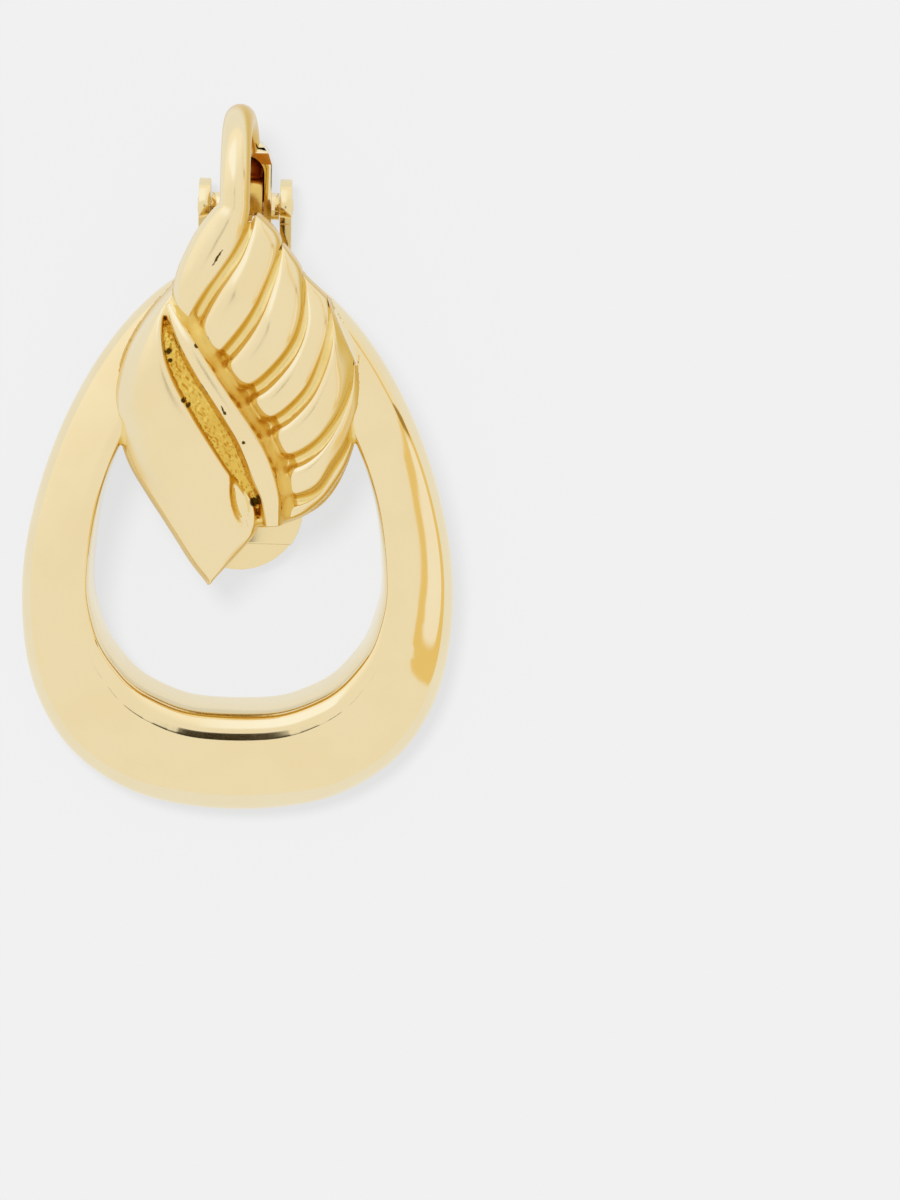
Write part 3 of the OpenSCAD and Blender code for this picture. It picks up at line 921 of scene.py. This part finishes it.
# The clip's spring: a strip of sprung sheet folded over the hinge pin inside the housing.
def dressed_copy(name, node, bevel):
    """A copy of a carried-over solid with its facets merged and its edges broken."""
    piece = bpy.data.objects.new(name, frame["nodes"][node].data.copy())
    bpy.context.scene.collection.objects.link(piece)
    bpy.ops.object.select_all(action="DESELECT")
    piece.select_set(True)
    bpy.context.view_layer.objects.active = piece
    piece.data.materials.clear()
    bpy.ops.object.mode_set(mode="EDIT")
    bpy.ops.mesh.select_all(action="SELECT")
    bpy.ops.mesh.remove_doubles(threshold=0.001 * MM)
    bpy.ops.mesh.dissolve_limited(angle_limit=math.radians(1))
    bpy.ops.object.mode_set(mode="OBJECT")
    apply_modifier(
        piece, "BEVEL", width=bevel * MM, segments=3, limit_method="ANGLE", angle_limit=math.radians(40)
    )
    bpy.ops.object.shade_smooth_by_angle(angle=math.radians(35))
    return piece


spring_strip = dressed_copy("spring_strip", "clip_spring", 0.05)
spring_strip.data.materials.append(
    plate_material("spring_gold", linear(240, 214, 140), linear(232, 200, 116), 0.16)
)
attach(spring_strip, "casting")
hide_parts("clip_spring")

# The hinge pin: a plain rod through the housing and the paddle's ears, its ends broken.
clip_gold = plate_material("clip_gold", linear(245, 229, 186), linear(243, 225, 178), 0.1)
hinge_rod = dressed_copy("hinge_rod", "hinge_pin", 0.12)
hinge_rod.data.materials.append(clip_gold)
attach(hinge_rod, "casting")
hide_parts("hinge_pin")

# The paddle: sheet brass, cut out, folded up into two round ears at the hinge, and soldered to a
# round pad with a bent lip; its edges are tumbled soft before plating.
paddle = dressed_copy("paddle", "clip_paddle", 0.2)
paddle.data.materials.append(clip_gold)
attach(paddle, "paddle")
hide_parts("clip_paddle")

# The sheet it lies on: white paper on a light table, which keeps the shadows faint.
bpy.ops.object.select_all(action="DESELECT")
bpy.ops.mesh.primitive_plane_add(size=2, location=(0, 0, 0))
sheet = bpy.context.active_object
sheet.name = "sheet"
paper = bpy.data.materials.new("paper")
Shader(paper).set(
    "Principled BSDF", Base_Color=(0.08, 0.08, 0.08, 1), Roughness=1.0, Specular_IOR_Level=0.0,
    Emission_Color=(0.700, 0.705, 0.712, 1), Emission_Strength=1.0,
)
sheet.data.materials.append(paper)

# The light: a cream tent, whiter towards the bow, with a white softbox at the upper left, a small
# dark hole straight overhead and a gold-edged card at the right.
world = bpy.data.worlds.new("tent")
bpy.context.scene.world = world
tent = Shader(world)
way = tent.node("ShaderNodeTexCoord", {}, output="Generated")
split = tent.node("ShaderNodeSeparateXYZ", {}, way)
east, north, up = (Socket(tent, split.link.node.outputs[k]) for k in range(3))
azimuth = east.sum_with("ARCTAN2", north, east) * (180 / math.pi)
elevation = up.sum_with("ARCSINE", up) * (180 / math.pi)
bow_side = north * 0.94 - east * 0.35
colour = tent.mix(bow_side.step(0.15, 0.75), (0.90, 0.858, 0.76, 1), (1.0, 0.955, 0.86, 1))
softbox = azimuth.step(80, 96) * azimuth.step(152, 138) * elevation.step(12, 24) * elevation.step(78, 66)
colour = tent.mix(softbox, colour, (1.05, 1.08, 1.14, 1))
hole = abs(east / up + 0.020).step(0.040, 0.022) * abs(north / up + 0.080).step(0.088, 0.062)
colour = tent.mix(hole * up.step(0.5, 0.6), colour, (0.03, 0.02, 0.005, 1))


def panel(middle, half):
    """0 in the middle of a round-cornered panel of the tent and 1 at its border."""
    far, high = (azimuth - middle[0]) / half[0], (elevation - middle[1]) / half[1]
    far, high = far * far, high * high
    return far * far + high * high


tail_bend = azimuth - 26.0
tail_off = abs(elevation - 22.0 + tail_bend * tail_bend * 0.03)
tail = tail_off.step(3.2, 1.6) * azimuth.step(13, 18) * azimuth.step(58, 50)
gilt = tail.sum_with("MAXIMUM", tail, panel((-5, 14.5), (21, 13.5)).step(1.2, 0.85))
colour = tent.mix(gilt, colour, (0.84, 0.64, 0.26, 1))
colour = tent.mix(panel((-2.5, 18), (15.5, 6.3)).step(1.3, 0.75), colour, (0.95, 0.91, 0.85, 1))
colour = tent.mix(panel((16, 15), (2, 6)).step(1.4, 0.6), colour, (0.40, 0.24, 0.05, 1))
seen = tent.node("ShaderNodeLightPath", {}, output="Is Camera Ray")
colour = tent.mix(seen, colour, (0.871, 0.871, 0.871, 1))
tent.set("Background", Color=colour, Strength=1.0)
bpy.context.scene.view_settings.view_transform = "Standard"

# The lamp: a wide soft lamp high at the upper left. It only lays the faint shadow at the lower
# right, so the mirror metal doesn't show it.
lamp_lean = math.radians(16)
lamp_side = math.radians(128)
bpy.ops.object.light_add(type="SUN", rotation=(lamp_lean, 0, lamp_side - math.pi / 2 + math.pi))
lamp = bpy.context.active_object
lamp.name = "lamp"
lamp.data.energy = 4.2
lamp.data.angle = math.radians(16)
lamp.visible_glossy = False
